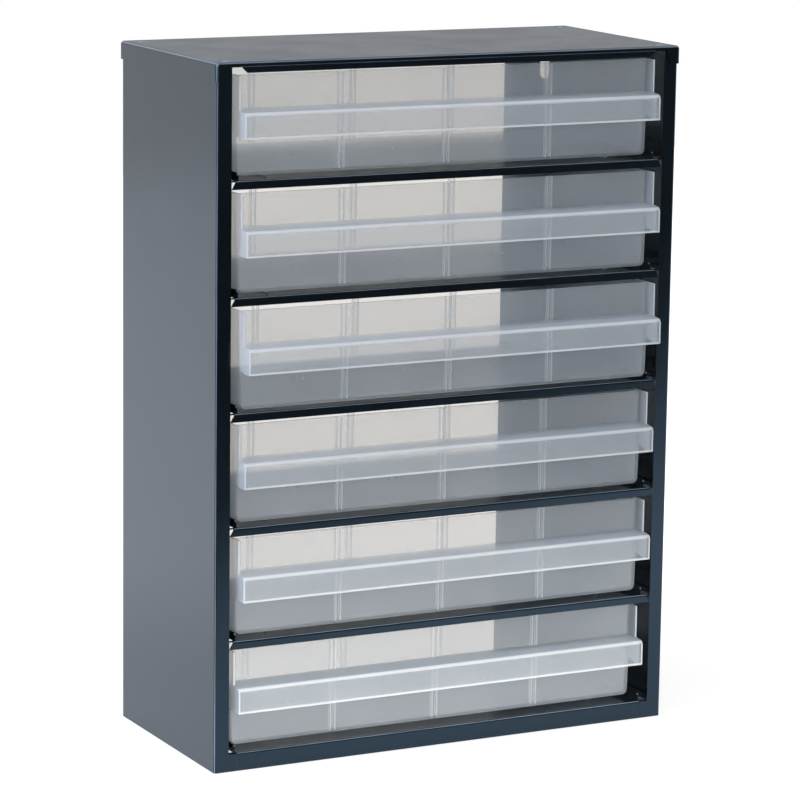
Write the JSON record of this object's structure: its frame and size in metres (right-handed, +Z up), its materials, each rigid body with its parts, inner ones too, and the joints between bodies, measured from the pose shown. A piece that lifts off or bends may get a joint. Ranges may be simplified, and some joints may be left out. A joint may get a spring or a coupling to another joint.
{
  "type": "parts bin cabinet",
  "caption": "Upright folded-steel cabinet with a stack of wide translucent plastic drawers, each sliding forward by a hooded full-width handle.",
  "frame": {"origin": "on the standing surface, below the middle of the whole object's bounding box with the drawers as in the picture", "axes": "+Z up, +X to the right as seen from the front, +Y to the back; the drawer fronts face -Y"},
  "size_m": [0.306, 0.152, 0.417],
  "materials": {
    "cabinet_paint": "semi-gloss dark blue powder coat",
    "fixing_steel": "painted rivets",
    "drawer_plastic": "translucent milky polypropylene"
  },
  "bodies": {
    "cabinet": {"left_side": "cabinet_paint", "right_side": "cabinet_paint", "top_cover": "cabinet_paint", "cover_fixings": "fixing_steel", "top_plate": "cabinet_paint", "bottom_plate": "cabinet_paint", "shelf_1": "cabinet_paint", "shelf_2": "cabinet_paint", "shelf_3": "cabinet_paint", "shelf_4": "cabinet_paint", "shelf_5": "cabinet_paint"},
    "drawer_1": {"drawer_1": "drawer_plastic"},
    "drawer_2": {"drawer_2": "drawer_plastic"},
    "drawer_3": {"drawer_3": "drawer_plastic"},
    "drawer_4": {"drawer_4": "drawer_plastic"},
    "drawer_5": {"drawer_5": "drawer_plastic"},
    "drawer_6": {"drawer_6": "drawer_plastic"}
  },
  "joints": [
    {"name": "drawer_1_slide", "type": "slide", "parent": "cabinet", "child": "drawer_1", "axis": [0, -1, 0], "range_m": [-0.0037, 0.1083]},
    {"name": "drawer_2_slide", "type": "slide", "parent": "cabinet", "child": "drawer_2", "axis": [0, -1, 0], "range_m": [-0.0059, 0.1061]},
    {"name": "drawer_3_slide", "type": "slide", "parent": "cabinet", "child": "drawer_3", "axis": [0, -1, 0], "range_m": [-0.0093, 0.1027]},
    {"name": "drawer_4_slide", "type": "slide", "parent": "cabinet", "child": "drawer_4", "axis": [0, -1, 0], "range_m": [-0.0048, 0.1072]},
    {"name": "drawer_5_slide", "type": "slide", "parent": "cabinet", "child": "drawer_5", "axis": [0, -1, 0], "range_m": [-0.0037, 0.1083]},
    {"name": "drawer_6_slide", "type": "slide", "parent": "cabinet", "child": "drawer_6", "axis": [0, -1, 0], "range_m": [0, 0.112]}
  ]
}
